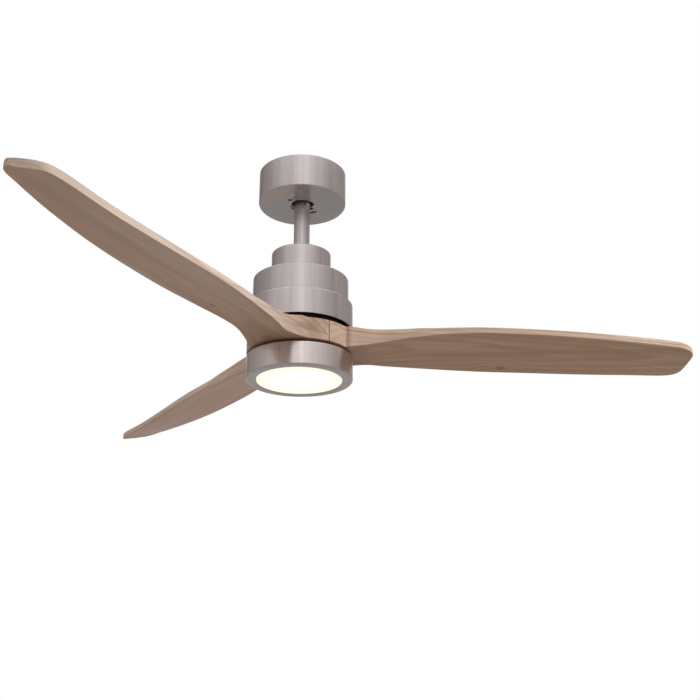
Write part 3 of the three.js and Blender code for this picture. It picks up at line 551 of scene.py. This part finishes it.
def blade_wood(name, blade_turn, seed, tint, streak, knots):
    """Pale hardwood in two glued layers, with its grain along the blade that is turned by blade_turn."""
    made, s, p = material(name, Specular_IOR_Level=0.5)
    own = s.node("ShaderNodeVectorRotate", s.coordinates(), None, None, -blade_turn, rotation_type="Z_AXIS")
    x, y, z = s.split(own)
    reach = s.length(x, y)

    def grained(along, across, detail, rough, shift=0.0):
        """Noise stretched along the grain; along and across are in features per metre."""
        sideways = s.math("MULTIPLY_ADD", y, across, seed + shift)
        where = s.joined(s.math("MULTIPLY", x, along), sideways, s.math("MULTIPLY", z, across))
        return s.noise(where, 1.0, detail, rough)

    slow, mid = grained(1.6, 5.0, 2.0, 0.5), grained(5.0, 30.0, 3.0, 0.55, 7.0)
    bands, fibre = grained(2.6, 34.0, 3.0, 0.55, 3.0), grained(14.0, 800.0, 3.0, 0.6)
    stripes = grained(3.5, 150.0, 3.0, 0.6, 11.0)
    pores = s.ranged(grained(60.0, 1500.0, 2.0, 0.55), 0.60, 0.72)
    # the growth rings: shells round a pith line that dips away from the blade, pushed aside by the knots
    across = s.math("ADD", y, 0.012 + 0.011 * math.sin(seed))
    above = s.math("SUBTRACT", z, PITH_Z)
    deep = s.math("MULTIPLY_ADD", s.math("SUBTRACT", x, PITH_X), PITH_SLOPE, above)
    ring = s.math("MULTIPLY_ADD", slow, 0.050, s.length(across, deep))
    ring = s.math("MULTIPLY_ADD", mid, 0.009, ring)
    core = 0.0
    for knot_x, knot_y, size in knots:
        along = s.math("MULTIPLY", s.math("SUBTRACT", x, knot_x), KNOT_NARROW)
        beside = s.length(along, s.math("SUBTRACT", y, knot_y))
        ring = s.math("ADD", ring, s.ranged(beside, 0.0, 5.0 * size, 1.6 * size, 0.0))
        core = s.math("MAXIMUM", core, s.ranged(beside, 0.25 * size, size, 1.0, 0.0))
    growth = s.math("FRACT", s.math("MULTIPLY", ring, RINGS))
    late = s.ramp(growth, [(0.0, 0.0), (0.45, 0.22), (0.86, 1.0), (0.95, 0.45), (1.0, 0.0)], "EASE")
    colour = s.mixed(s.math("MULTIPLY", late, 0.62), s.ramp(bands, PLANK), LATE_WOOD)
    middle = s.math("MULTIPLY_ADD", slow, 0.05, s.math("ADD", y, -0.032))
    dark = s.math("MULTIPLY", s.ranged(s.math("ABSOLUTE", middle), 0.001, 0.012, 0.5 * streak, 0.0), bands)
    colour = s.mixed(dark, colour, DARK_STREAK)
    colour = s.mixed(s.ranged(stripes, 0.40, 0.64, 0.0, 0.42), colour, STRIPE)
    colour = s.mixed(s.ranged(middle, 0.003, -0.003, 0.0, streak), colour, LEAD_STAVE, "MULTIPLY")
    colour = s.mixed(s.ranged(fibre, 0.3, 0.75, 0.0, 0.28), colour, FIBRE)
    colour = s.mixed(s.math("MULTIPLY", pores, 0.30), colour, PORE)
    colour = s.mixed(s.math("MULTIPLY", core, 0.85), colour, KNOT)
    # painted shade: the wood is darkened near the hub
    colour = s.mixed(s.ranged(reach, *HUB_SHADE_FADE, 1.0, 0.0), colour, HUB_PAINTED_SHADE, "MULTIPLY")
    # the glue line, a slanted plane that shows where the hub runs out into the blade
    wander = s.noise(s.joined(s.math("MULTIPLY", x, 12.0), s.math("MULTIPLY", y, 12.0), seed), 1.0, 2.0)
    drop = s.math("MULTIPLY_ADD", wander, 0.003, GLUE_DROP)
    over = s.math("ADD", s.math("MULTIPLY_ADD", y, GLUE_SLOPE, z), drop)
    colour = s.mixed(s.ranged(over, 0.0002, -0.0002, 0.0, 0.30), colour, LOWER_LAYER)
    colour = s.mixed(s.ranged(s.math("ABSOLUTE", over), 0.0001, 0.0007, 0.5, 0.0), colour, GLUE)
    # the end grain that meets the next blade at the seams
    turn = s.math("ABSOLUTE", s.math("SUBTRACT", s.math("ARCTAN2", y, x), math.radians(SEAM_TURN)))
    away = s.math("MULTIPLY", s.math("SINE", s.math("SUBTRACT", math.radians(SEAM_HALF), turn)), reach)
    colour = s.mixed(s.ranged(away, 0.0004, 0.0013, 0.85, 0.0), colour, SEAM)
    # painted light: by the normal, faces that stand upright are made paler and cooler than the flat faces,
    # as the key light would show them
    upright = s.split(s.node("ShaderNodeNewGeometry", out=1))[2]
    side = s.ranged(s.math("ABSOLUTE", upright), 0.25, 0.65, 1.0, 0.0)
    painted_side_light = s.mixed(s.ranged(reach, *PAINTED_SIDE_LIGHT_FADE), PAINTED_SIDE_LIGHT_NEAR, PAINTED_SIDE_LIGHT_FAR)
    colour = s.mixed(side, colour, painted_side_light, "MULTIPLY")
    # each blade's tint, partly its own tone and partly painted sheen, multiplies its colour
    s.feed(p.inputs["Base Color"], s.mixed(1.0, colour, tint, "MULTIPLY"))
    s.feed(p.inputs["Roughness"], s.ranged(late, 0.0, 1.0, 0.50, 0.38))
    height = s.math("SUBTRACT", s.math("MULTIPLY", fibre, 0.5), pores)
    s.feed(p.inputs["Normal"], s.bump(height, 0.00006, 0.5))
    return made


# ---------- shells ----------
SHEET = 1.5  # thickness of the pressed shells
PAST = 2.0  # how far a cutting tool runs past the sheet
CRISP, RIM, BROKEN, ROD_END = 0.3, 0.4, 0.5, 0.6  # fillet radii of small edges
FOLD, LENS_ROUND, CANOPY_FOLD, LIGHT_SHOULDER = 0.8, 0.9, 1.0, 1.2
ROD_SEGMENTS, DRUM_SEGMENTS, TIER_SEGMENTS, SCREW_SEGMENTS, HUB_SEGMENTS = 96, 200, 220, 40, 96
CANOPY_HOLE = 21.3
CANOPY_ROUND = 2.6
KEYHOLE_R, KEYHOLE_AT, KEYHOLE_SWEEP = 29.0, -115.0, -20.0
KEYHOLE_SLOT, KEYHOLE_ENTRY = 2.3, 4.6
ROD_BORE = 11.4
PIN_HOLE = 3.3
ROD_PINS = (-29.0, -170.0)  # heights of the holes for the pins in ball and yoke
COVER_HOLE, COVER_ROUND = 13.9, 1.3
UPPER_MOUTH, UPPER_ROUND = 34.6, 1.8
UPPER_SCREW_RING, UPPER_SCREW_HOLE = 41.5, 2.2
LOWER_MOUTH, LOWER_ROUND = 71.0, 2.5
LIGHT_MOUTH, LIGHT_BEVEL, LIGHT_FLANGE = 69.6, 1.4, 14.0
LENS_R, LENS_RIM, LENS_FACE, LENS_INNER = 69.1, 1.9, -373.3, -371.0
LUG_TURNS, LUG_HALF = (30, 150, 270), 12
LUG_INNER, LUG_LOW, LUG_ROOT = 64.6, -360.7, 0.5  # LUG_ROOT is how far a lug's root reaches into the rim


def node_size(name):
    """Outer radius, lowest and highest z of a round CAD node, in mm."""
    low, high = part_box(name)
    return (high.x - low.x) / 2 / MM, low.z / MM, high.z / MM


def place(piece, body, node):
    """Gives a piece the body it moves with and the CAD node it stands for."""
    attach(piece, body)
    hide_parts(node)


def keyhole(turn):
    """Outlines that make up one keyhole: a curved slot, its round end and its round entry."""
    count = 12
    start, end = KEYHOLE_AT + turn, KEYHOLE_AT + turn + KEYHOLE_SWEEP
    angles = [start + (end - start) * k / count for k in range(count + 1)]
    inner = [polar(KEYHOLE_R - KEYHOLE_SLOT, a) for a in angles]
    outer = [polar(KEYHOLE_R + KEYHOLE_SLOT, a) for a in angles[::-1]]
    slot_end = circle(*polar(KEYHOLE_R, start), KEYHOLE_SLOT)
    return [inner + outer, slot_end, circle(*polar(KEYHOLE_R, end), KEYHOLE_ENTRY)]


def add_canopy(nickel):
    """The drum under the ceiling, open at the top, with two keyholes in its floor."""
    r, low, high = node_size("canopy")
    outline = filleted([
        (CANOPY_HOLE, low, BROKEN), (r, low, CANOPY_ROUND), (r, high, RIM), (r - SHEET, high, RIM),
        (r - SHEET, low + SHEET, CANOPY_FOLD), (CANOPY_HOLE, low + SHEET, BROKEN)])
    shell = lathe("canopy_shell", outline, [nickel], DRUM_SEGMENTS)
    for turn in (0, 180):
        for opening in keyhole(turn):
            combine(shell, prism("keyhole_tool", opening, low - PAST, low + SHEET + PAST))
    soften(shell)
    place(shell, "canopy", "canopy")


def cross_bar(r, reach, z):
    """A round bar along X, as a tool that drills a cross hole."""
    ring = circle(0, z, r)
    vertices = [(x * MM, y * MM, h * MM) for x in (-reach, reach) for y, h in ring]
    return new_object("pin_tool", vertices, prism_faces(len(ring)))


def add_downrod(nickel):
    """The tube between canopy and motor, cross-drilled for its two pins."""
    r, low, high = node_size("downrod")
    corners = [(ROD_BORE, low, CRISP), (r, low, ROD_END), (r, high, ROD_END), (ROD_BORE, high, CRISP)]
    rod = lathe("downrod_tube", filleted(corners, 3), [nickel], ROD_SEGMENTS)
    for z in ROD_PINS:
        combine(rod, cross_bar(PIN_HOLE, 2 * r, z))
    soften(rod)
    place(rod, "hanging_unit", "downrod")


def tier(name, node, mouth, shoulder, nickel):
    """A shell with a flat top that has a round opening, a rounded shoulder and an open bottom."""
    r, low, high = node_size(node)
    outline = filleted([
        (mouth, high, CRISP), (mouth, high - SHEET, CRISP), (r - SHEET, high - SHEET, shoulder / 2),
        (r - SHEET, low, CRISP), (r, low, BROKEN), (r, high, shoulder)], 8)
    return lathe(name, outline, [nickel], TIER_SEGMENTS)


def add_covers(nickel):
    """The three tiers above the blades."""
    cover = tier("coupling_cover_shell", "coupling_cover", COVER_HOLE, COVER_ROUND, nickel)
    place(cover, "coupling_cover", "coupling_cover")
    upper = tier("upper_housing_shell", "upper_housing", UPPER_MOUTH, UPPER_ROUND, nickel)
    top = node_size("upper_housing")[2]
    for turn in (0, 120, 240):
        hole = circle(*polar(UPPER_SCREW_RING, turn), UPPER_SCREW_HOLE)
        combine(upper, prism("screw_tool", hole, top - SHEET - PAST, top + PAST))
    soften(upper)
    place(upper, "hanging_unit", "upper_housing")
    lower = tier("lower_housing_shell", "lower_housing", LOWER_MOUTH, LOWER_ROUND, nickel)
    place(lower, "hanging_unit", "lower_housing")


def add_light_ring(nickel):
    """The ring round the diffuser, with a small bevel below and a flange turned in at the top."""
    r, low, high = node_size("light_housing")
    flange = r - LIGHT_FLANGE
    outline = filleted([
        (LIGHT_MOUTH, low, RIM), (r - LIGHT_BEVEL, low, RIM), (r, low + LIGHT_BEVEL, RIM),
        (r, high, LIGHT_SHOULDER), (flange, high, CRISP), (flange, high - SHEET, CRISP),
        (r - SHEET, high - SHEET, FOLD), (r - SHEET, low + SHEET, FOLD),
        (LIGHT_MOUTH, low + SHEET, CRISP)], 5)
    ring = lathe("light_housing_shell", outline, [nickel], TIER_SEGMENTS)
    place(ring, "hanging_unit", "light_housing")


def add_diffuser():
    """The opal cap, with three bayonet lugs inside its rim."""
    top = node_size("diffuser")[2]
    inside = LENS_R - LENS_RIM
    outline = filleted([
        (0.0, LENS_FACE, 0.0), (LENS_R, LENS_FACE, LENS_ROUND), (LENS_R, top, CRISP), (inside, top, CRISP),
        (inside, LENS_INNER, FOLD), (0.0, LENS_INNER, 0.0)], 5)
    lens = lathe("diffuser_lens", outline, [opal()], DRUM_SEGMENTS)
    for turn in LUG_TURNS:
        steps = range(-LUG_HALF, LUG_HALF + 1, 2)
        inner_arc = [polar(LUG_INNER, turn - a) for a in steps]
        outer_arc = [polar(inside + LUG_ROOT, turn + a) for a in steps]
        combine(lens, prism("lug_tool", inner_arc + outer_arc, LUG_LOW, top), "UNION")
    soften(lens)
    place(lens, "diffuser", "diffuser")


# ---------- screws ----------
CROSS_LONG, CROSS_WIDE = 0.62, 0.17  # a cross recess, as shares of the head's radius
CROSS_DEEP = 0.55  # and as a share of the head's height
HEAD_SIDE, HEAD_EDGE, SHANK_CHAMFER = 0.5, 0.2, 0.6
DOME = np.linspace(0, 1.5, 12)[1:]  # radians from the middle of a domed head towards its side
CANOPY_SCREW, BLADE_SCREW = (2.2, 1.8), (2.3, 2.5)  # height of the head, radius of the shank


def cross_head_screw(name, node, head_height, shank_r, body, steel):
    """A screw that points up, with a domed head and a cross recess in it."""
    low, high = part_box(node)
    x, y = (low.x + high.x) / 2 / MM, (low.y + high.y) / 2 / MM
    r, bottom, top = (high.x - low.x) / 2 / MM, low.z / MM, high.z / MM
    seat = bottom + head_height
    rise = head_height - HEAD_SIDE
    dome = [(r * math.sin(a), seat - HEAD_SIDE - rise * math.cos(a)) for a in DOME]
    head = [(0.0, bottom), *dome, (r, seat - HEAD_EDGE), (r - HEAD_EDGE, seat)]
    shank = [(shank_r, seat), (shank_r, top - SHANK_CHAMFER), (shank_r - SHANK_CHAMFER, top), (0.0, top)]
    made = lathe(name, head + shank, [steel], SCREW_SEGMENTS)
    long, wide = CROSS_LONG * r, CROSS_WIDE * r
    for a, b in ((long, wide), (wide, long)):
        outline = [(-a, -b), (a, -b), (a, b), (-a, b)]
        combine(made, prism("cross_tool", outline, bottom - PAST, bottom + CROSS_DEEP * head_height))
    made.data.transform(Matrix.Translation((x * MM, y * MM, 0)))
    soften(made)
    place(made, body, node)


def add_screws(steel):
    for i in (1, 2):
        cross_head_screw(f"canopy_screw_{i}_domed", f"canopy_screw_{i}", *CANOPY_SCREW, "canopy", steel)
    for i in range(1, 7):
        cross_head_screw(f"blade_screw_{i}_domed", f"blade_screw_{i}", *BLADE_SCREW, "rotor", steel)


# ---------- blades ----------
# The CAD's stations along a blade, in mm: (x, y) in plan, (x, z) of the lower face and (x, thickness).
TIP = 652.0
HUB_R = 86.0
LEAD_PLAN = [(81, -48), (94, -43.5), (126, -38.5), (157, -42.4), (230, -55.9),
             (310, -61.4), (430, -55.1), (540, -39.1), (622, -20.6)]
LEAD_CORNER = [LEAD_PLAN[-1], (642.8, -15.9), (TIP, -2.3), (TIP, 4.6)]
TRAIL_PLAN = [(72, 51.5), (94.5, 42.5), (116, 40), (145, 45.7), (215, 53.5),
              (305, 59.6), (430, 58.2), (540, 56.5), (600, 57.8)]
TRAIL_CORNER = [TRAIL_PLAN[-1], (TIP - 0.2, 58.9), (642.9, 46.4), (TIP, 7.6)]
LEAD_BOTTOM = [(78, -331), (95, -326.8), (126, -320.4), (157, -315.7), (194, -312.3),
               (240, -309.7), (320, -308.9), (480, -311.3), (TIP, -312.5)]
TRAIL_BOTTOM = [(72, -331), (145, -331), (215, -331.7), (360, -333.7), (500, -335.9), (TIP, -334.9)]
THICKNESS = [(78, 35), (90, 32.2), (104, 28.4), (126, 24), (157, 18.8), (194, 15.1), (230, 11.9),
             (330, 10.4), (TIP, 11.6)]
EDGE_ROUND = 1.5
TIP_ROUND = 2.6
LEAD_ROUND = [(600, EDGE_ROUND), (638, 4.2)]  # the leading edge's upper corner, rounded over towards the tip
CAMBER = [(120, 0.0), (220, 1.2), (580, 1.2), (TIP, 0.36)]  # how far the middle bows up
# The hub's round runs from HUB_ARC degrees at each side to HUB_LEAN times the first station's own turn.
HUB_LEAN, HUB_ARC, HUB_STEPS = 1.06, 75, 30
ACROSS, CORNER_STEPS = 14, 5  # points across a face, and steps round a corner
FIRST_STATION, STATION_RUNS = 24.0, [(140, 2.5), (594, 7.0)]  # each run goes up to an x in steps of a size
LAST_RUN = 600  # from here the stations are spread evenly up to the tip's rounding
TRIM_SHARE, TRIM_MOST = 0.3, 0.45  # the plan narrows at the tip: a share of its rounding, and of the width
SEAM_GAP = 0.3
BLADE_CUT = (-400, -250)  # heights of the tools that cut right through a blade
THIRD_REACH = 400.0  # half the length of the tool that cuts out a third of the turn
BLADE_SHARP = 34.0  # degrees; sharper edges of a blade stay crisp
HUB_BORE = 32.0
BLADE_SCREW_RING, BLADE_SCREW_TURN, BLADE_SCREW_HOLE = 47.0, 24.0, 3.0


def spline(points, steps=24):
    """Points along the smooth curve through the given ones."""
    p = [np.array(q, float) for q in points]
    out = []
    for i in range(len(p) - 1):
        p0, p1, p2, p3 = p[max(i - 1, 0)], p[i], p[i + 1], p[min(i + 2, len(p) - 1)]
        v0, v1 = (p2 - p0) / 2, (p3 - p1) / 2
        for k in range(steps):
            t = k / steps
            cubic, square = 2 * p1 - 2 * p2 + v0 + v1, -3 * p1 + 3 * p2 - 2 * v0 - v1
            out.append(cubic * t**3 + square * t * t + v0 * t + p1)
    out.append(p[-1])
    return np.array(out)


def bezier(a, b, c, d, steps=40):
    """Points along the curve from a to d that b and c pull aside."""
    t = np.linspace(0, 1, steps + 1)[:, None]
    a, b, c, d = (np.array(q, float) for q in (a, b, c, d))
    return (1 - t) ** 3 * a + 3 * (1 - t) ** 2 * t * b + 3 * (1 - t) * t * t * c + t**3 * d


def plan_side(stations, side, corner):
    """One long edge of the blade's plan from the hub's side to the tip, as dense (x, y) points."""
    start = HUB_ARC * side
    end = math.degrees(math.atan2(stations[0][1], stations[0][0])) * HUB_LEAN
    arc = [polar(HUB_R, start + (end - start) * k / HUB_STEPS) for k in range(HUB_STEPS + 1)]
    run = spline([arc[-1], *stations])
    return np.vstack([arc, run[1:], bezier(*corner)[1:]])


def reader(points):
    """A function that reads the curve's second value at x."""
    xs, ys = points[:, 0], points[:, 1]
    return lambda x: float(np.interp(x, xs, ys))


def blade_stations():
    """Distances from the axis at which the blade's section is drawn, closest at the hub and the tip."""
    stations = [FIRST_STATION]
    for end, step in STATION_RUNS:
        while stations[-1] < end:
            stations.append(stations[-1] + step)
    start = TIP - TIP_ROUND
    stations += list(np.linspace(LAST_RUN, start, 32))
    return stations + [start + TIP_ROUND * math.sin(a) for a in np.linspace(0.16, math.pi / 2 - 0.01, 10)]


def blade_mesh():
    """Vertices and faces of a blade along +X: a section at each station, joined into one closed skin."""
    lead = reader(plan_side(LEAD_PLAN, -1, LEAD_CORNER))
    trail = reader(plan_side(TRAIL_PLAN, 1, TRAIL_CORNER))
    lead_line, trail_line = reader(spline(LEAD_PLAN)), reader(spline(TRAIL_PLAN))
    lead_z, trail_z = reader(spline(LEAD_BOTTOM)), reader(spline(TRAIL_BOTTOM))
    thickness = reader(spline(THICKNESS))
    lead_round, camber = reader(np.array(LEAD_ROUND)), reader(np.array(CAMBER))

    def section(x):
        """The closed ring of points round the blade at x."""
        y0, y1, thick = lead(x), trail(x), thickness(x)
        past = max(0.0, x - (TIP - TIP_ROUND))
        inset = TIP_ROUND - math.sqrt(max(0.0, TIP_ROUND**2 - past**2))
        trim = min(TRIM_SHARE * inset, TRIM_MOST * (y1 - y0))
        y0, y1 = y0 + trim, y1 - trim
        largest = min((y1 - y0) / 4, (thick - 2 * inset) / 2)
        radius = min(EDGE_ROUND, largest / 2)
        lead_radius = min(lead_round(x), largest)

        def surface(y, top):
            """The point of the upper or lower face at y."""
            share = min(1.0, max(0.0, (y - lead_line(x)) / (trail_line(x) - lead_line(x))))
            bow = camber(x) * 4 * share * (1 - share)
            base = lead_z(x) + (trail_z(x) - lead_z(x)) * share
            return x, y, base + bow + (thick - inset if top else inset)

        def corner(edge, inward, rounding, top):
            """Arc points of one long edge, from the flat face round to the edge's side."""
            out = []
            for k in range(CORNER_STEPS + 1):
                a = math.pi / 2 * k / CORNER_STEPS
                drop = rounding * (1 - math.cos(a))
                px, py, pz = surface(edge + inward * rounding * (1 - math.sin(a)), top)
                out.append((px, py, pz - drop if top else pz + drop))
            return out

        low = np.linspace(y0 + radius, y1 - radius, ACROSS)[1:-1]
        high = np.linspace(y1 - radius, y0 + lead_radius, ACROSS)[1:-1]
        ring = [surface(y, False) for y in low]
        ring += corner(y1, -1, radius, False)
        ring += corner(y1, -1, radius, True)[::-1]
        ring += [surface(y, True) for y in high]
        ring += corner(y0, 1, lead_radius, True)
        return ring + corner(y0, 1, radius, False)[::-1]

    rings = [section(x) for x in blade_stations()]
    n = len(rings[0])
    vertices = [(px * MM, py * MM, pz * MM) for ring in rings for px, py, pz in ring]
    faces = [tuple(range(n)), tuple(range(len(vertices) - 1, len(vertices) - n - 1, -1))]
    for i in range(len(rings) - 1):
        for j in range(n):
            a, b = i * n + j, i * n + (j + 1) % n
            faces.append((b, a, a + n, b + n))
    return vertices, faces


def hub_third():
    """The third of the turn that one blade fills, less half a gap at each seam."""
    slope = math.tan(math.radians(SEAM_HALF))
    apex = SEAM_GAP / 2 / math.sin(math.radians(SEAM_HALF))
    far, wide = apex + THIRD_REACH, THIRD_REACH * slope
    outline = [(apex, 0), (far, -wide), (far + THIRD_REACH, 0), (far, wide)]
    turned = [polar(math.hypot(x, y), math.degrees(math.atan2(y, x)) + SEAM_TURN) for x, y in outline]
    return prism("third_tool", turned, *BLADE_CUT)


def add_blades():
    """Copies of one blade, trimmed to its third of the hub, bored and drilled, each with its own grain."""
    vertices, faces = blade_mesh()
    master = new_object("blade_master", vertices, faces)
    combine(master, hub_third(), "INTERSECT")
    combine(master, prism("bore_tool", circle(0, 0, HUB_BORE, HUB_SEGMENTS), *BLADE_CUT))
    for turn in (-BLADE_SCREW_TURN, BLADE_SCREW_TURN):
        hole = circle(*polar(BLADE_SCREW_RING, turn), BLADE_SCREW_HOLE)
        combine(master, prism("screw_tool", hole, *BLADE_CUT))
    soften(master, BLADE_SHARP)
    for i in (1, 2, 3):
        blade_turn = math.radians(120 * (i - 1))
        blade = bpy.data.objects.new(f"blade_{i}_wood", master.data.copy())
        bpy.context.scene.collection.objects.link(blade)
        blade.data.transform(Matrix.Rotation(blade_turn, 4, "Z"))
        blade.data.materials.clear()
        blade.data.materials.append(blade_wood(f"blade_wood_{i}", blade_turn, *GRAIN_AND_SHEEN[i]))
        place(blade, "rotor", f"blade_{i}")
    bpy.data.objects.remove(master)


# ---------- carried-over CAD nodes ----------
def finish_cad_nodes(nickel, steel):
    """Puts a material on each CAD node whose slot in the record is one of those listed here."""
    by_slot = {
        "brushed_nickel": nickel,
        "plated_steel": steel,
        "black_steel": coated("black_steel", (0.010, 0.010, 0.011), (0.02, 0.02, 0.022), 0.5),
        "bearing_steel": plain_metal("bearing_steel", (0.55, 0.56, 0.58), (0.72, 0.73, 0.75), 0.16, 1500.0),
        "lamination": lamination(),
        "copper": copper(),
        "magnet": plain_metal("magnet", (0.10, 0.10, 0.105), (0.17, 0.17, 0.18), 0.5, 1800.0),
        "hanger_rubber": coated("hanger_rubber", (0.006, 0.007, 0.010), (0.014, 0.015, 0.02), 0.6, 900.0),
        "seat_plastic": coated("seat_plastic", (0.012, 0.012, 0.013), (0.02, 0.02, 0.021), 0.45),
        "white_nylon": coated("white_nylon", (0.66, 0.65, 0.60), (0.74, 0.73, 0.68), 0.45),
        "driver_plastic": coated("driver_plastic", (0.014, 0.014, 0.016), (0.026, 0.026, 0.028), 0.5),
        "circuit_board": circuit_board(),
        "led_board": led_board(),
        "cable": coated("cable", (0.03, 0.032, 0.036), (0.05, 0.052, 0.058), 0.4),
    }
    for row in frame["record"]["subparts"]:
        made = by_slot.get(row["material_slot"])
        if made is None:
            continue
        mesh = NODES[row["node"]].data
        mesh.materials.clear()
        mesh.materials.append(made)


add_camera()
bpy.context.scene.view_settings.view_transform = "Standard"
add_world()
add_area("key_light", KEY_AT, KEY_SIZE, KEY_POWER, KEY_COLOUR)
add_area("fill_light", FILL_AT, FILL_SIZE, FILL_POWER, FILL_COLOUR)
add_floor()
nickel = brushed_nickel("brushed_nickel", *NICKEL)
steel = plain_metal("plated_steel", (0.42, 0.43, 0.45), (0.62, 0.63, 0.65), 0.32)
finish_cad_nodes(nickel, steel)
add_canopy(nickel)
add_downrod(nickel)
add_covers(nickel)
# the light ring gets the brighter, warmer copy of the nickel: painted light
add_light_ring(brushed_nickel("brushed_nickel_ring_painted_light", *RING_NICKEL_PAINTED_LIGHT))
add_diffuser()
add_blades()
add_screws(steel)
